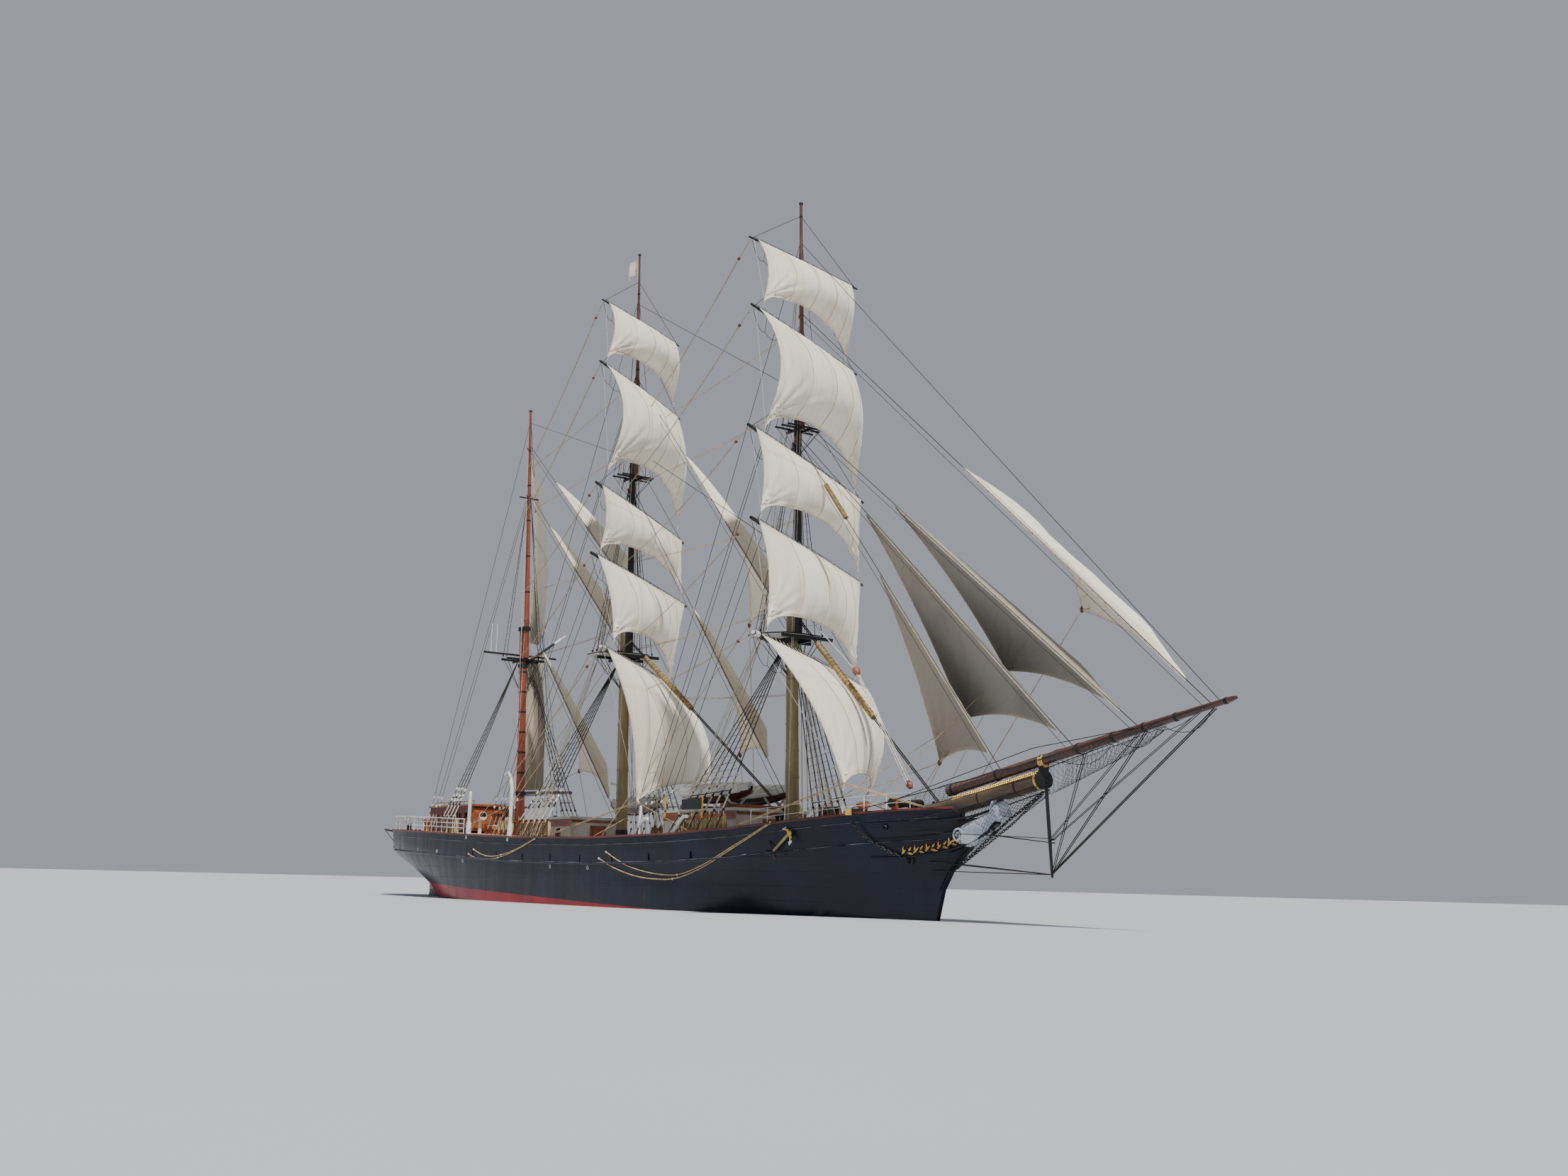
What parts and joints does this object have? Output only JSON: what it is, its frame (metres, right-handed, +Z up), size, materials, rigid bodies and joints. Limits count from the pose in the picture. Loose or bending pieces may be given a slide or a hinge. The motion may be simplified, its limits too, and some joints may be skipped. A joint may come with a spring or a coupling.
{
  "type": "three-masted barque under sail, 1:2 scale model of the real ship",
  "caption": "Three-masted iron barque afloat under sail at half size, with yards that brace, a swinging spanker, a turning rudder and a linked steering wheel.",
  "frame": {"origin": "amidships on the centreline, at the waterline", "axes": "+X towards the bow, +Y to port, +Z up"},
  "size_m": [35.0185, 8.0872, 20.3512],
  "materials": {
    "iron": "black paint, semi-gloss",
    "tan_paint": "khaki paint",
    "black_paint": "black paint",
    "varnish": "varnished red-brown",
    "ochre": "ochre paint",
    "white_paint": "white paint",
    "canvas": "cream sailcloth",
    "rigging": "tarred wire",
    "shaded_canvas": "weathered sailcloth",
    "teak": "varnished orange-brown"
  },
  "bodies": {
    "fore_royal": {"fore_royal_yard": "black_paint", "fore_royal_sail": "canvas"},
    "fore_topgallant": {"fore_topgallant_yard": "black_paint", "fore_topgallant_sail": "canvas"},
    "fore_upper_topsail": {"fore_upper_topsail_yard": "black_paint", "fore_upper_topsail_sail": "canvas"},
    "fore_lower_topsail": {"fore_lower_topsail_yard": "black_paint", "fore_lower_topsail_sail": "canvas"},
    "fore_course": {"fore_course_yard": "black_paint", "fore_course_sail": "canvas"},
    "main_royal": {"main_royal_yard": "black_paint", "main_royal_sail": "canvas"},
    "main_topgallant": {"main_topgallant_yard": "black_paint", "main_topgallant_sail": "canvas"},
    "main_upper_topsail": {"main_upper_topsail_yard": "black_paint", "main_upper_topsail_sail": "canvas"},
    "main_lower_topsail": {"main_lower_topsail_yard": "black_paint", "main_lower_topsail_sail": "canvas"},
    "main_course": {"main_course_yard": "black_paint", "main_course_sail": "canvas"},
    "spanker_gear": {"spanker_boom": "varnish", "spanker_gaff": "varnish", "spanker": "shaded_canvas", "gaff_topsail": "shaded_canvas"},
    "rudder": {"rudder": "iron"},
    "steering_wheel": {"steering_wheel": "varnish"},
    "ship": {"hull": "iron", "bulwark_starboard": "iron", "bulwark_port": "iron", "fore_lower_mast": "tan_paint", "fore_topmast": "black_paint", "main_lower_mast": "tan_paint", "main_topmast": "black_paint", "mizzen_lower_mast": "varnish", "mizzen_topmast": "black_paint", "bowsprit": "ochre", "jibboom": "varnish", "figurehead": "white_paint", "flying_jib": "canvas", "outer_jib": "canvas", "inner_jib": "canvas", "fore_topmast_staysail": "canvas", "main_topgallant_staysail": "canvas", "main_topmast_staysail": "canvas", "mizzen_topgallant_staysail": "canvas", "mizzen_topmast_staysail": "canvas", "mizzen_staysail": "canvas", "forestay": "rigging", "mainstay": "rigging", "fore_shrouds_starboard": "rigging", "fore_shrouds_port": "rigging", "main_shrouds_starboard": "rigging", "main_shrouds_port": "rigging", "mizzen_shrouds_starboard": "rigging", "mizzen_shrouds_port": "rigging", "fore_deckhouse": "white_paint", "main_deckhouse": "white_paint", "poop_deckhouse": "teak", "boats": "white_paint", "wheel_box": "teak"}
  },
  "joints": [
    {"name": "fore_royal_brace", "type": "hinge", "parent": "ship", "child": "fore_royal", "pos_m": [7.80587, 0, 15.665], "axis": [-0.0431, 0, 0.9991], "range_deg": [-34.4, 3.2]},
    {"name": "fore_topgallant_brace", "type": "hinge", "parent": "ship", "child": "fore_topgallant", "pos_m": [7.89271, 0, 13.65], "axis": [-0.0431, 0, 0.9991], "range_deg": [-60.4, 5.4]},
    {"name": "fore_upper_topsail_brace", "type": "hinge", "parent": "ship", "child": "fore_upper_topsail", "pos_m": [7.84326, 0, 10.505], "axis": [-0.0431, 0, 0.9991], "range_deg": [-72.6, 6.4]},
    {"name": "fore_lower_topsail_brace", "type": "hinge", "parent": "ship", "child": "fore_lower_topsail", "pos_m": [7.93615, 0, 8.35], "axis": [-0.0431, 0, 0.9991], "range_deg": [-77.5, 6.9]},
    {"name": "fore_course_brace", "type": "hinge", "parent": "ship", "child": "fore_course", "pos_m": [7.8045, 0, 5.72], "axis": [-0.0431, 0, 0.9991], "range_deg": [-84.8, 7.2]},
    {"name": "main_royal_brace", "type": "hinge", "parent": "ship", "child": "main_royal", "pos_m": [-0.20824, 0, 16.35], "axis": [-0.0448, 0, 0.999], "range_deg": [-58.2, 0.9]},
    {"name": "main_topgallant_brace", "type": "hinge", "parent": "ship", "child": "main_topgallant", "pos_m": [-0.11662, 0, 14.305], "axis": [-0.0448, 0, 0.999], "range_deg": [-73.9, 1.1]},
    {"name": "main_upper_topsail_brace", "type": "hinge", "parent": "ship", "child": "main_upper_topsail", "pos_m": [-0.14057, 0, 10.71], "axis": [-0.0448, 0, 0.999], "range_deg": [-83.5, 1.2]},
    {"name": "main_lower_topsail_brace", "type": "hinge", "parent": "ship", "child": "main_lower_topsail", "pos_m": [-0.05478, 0, 8.795], "axis": [-0.0448, 0, 0.999], "range_deg": [-83.1, 1.2]},
    {"name": "main_course_brace", "type": "hinge", "parent": "ship", "child": "main_course", "pos_m": [-0.18643, 0, 6.265], "axis": [-0.0448, 0, 0.999], "range_deg": [-95.5, 1]},
    {"name": "spanker_swing", "type": "hinge", "parent": "ship", "child": "spanker_gear", "pos_m": [-6.26481, 0, 3.15], "axis": [-0.0733, 0, 0.9973], "range_deg": [0, 100]},
    {"name": "rudder_turn", "type": "hinge", "parent": "ship", "child": "rudder", "pos_m": [-12.2966, 0, -0.8], "axis": [0, 0, 1], "range_deg": [-35, 35]},
    {"name": "wheel_turn", "type": "hinge", "parent": "ship", "child": "steering_wheel", "pos_m": [-11.45, 0, 2.50845], "axis": [1, 0, 0], "range_deg": [-360, 360]}
  ],
  "couplings": [
    {"joint": "fore_royal_brace", "follows": "fore_course_brace", "ratio": 0.40206},
    {"joint": "fore_topgallant_brace", "follows": "fore_course_brace", "ratio": 0.70876},
    {"joint": "fore_upper_topsail_brace", "follows": "fore_course_brace", "ratio": 0.85309},
    {"joint": "fore_lower_topsail_brace", "follows": "fore_course_brace", "ratio": 0.90979},
    {"joint": "main_royal_brace", "follows": "main_course_brace", "ratio": 0.60632},
    {"joint": "main_topgallant_brace", "follows": "main_course_brace", "ratio": 0.77053},
    {"joint": "main_upper_topsail_brace", "follows": "main_course_brace", "ratio": 0.87158},
    {"joint": "main_lower_topsail_brace", "follows": "main_course_brace", "ratio": 0.86737},
    {"joint": "wheel_turn", "follows": "rudder_turn", "ratio": 10}
  ]
}
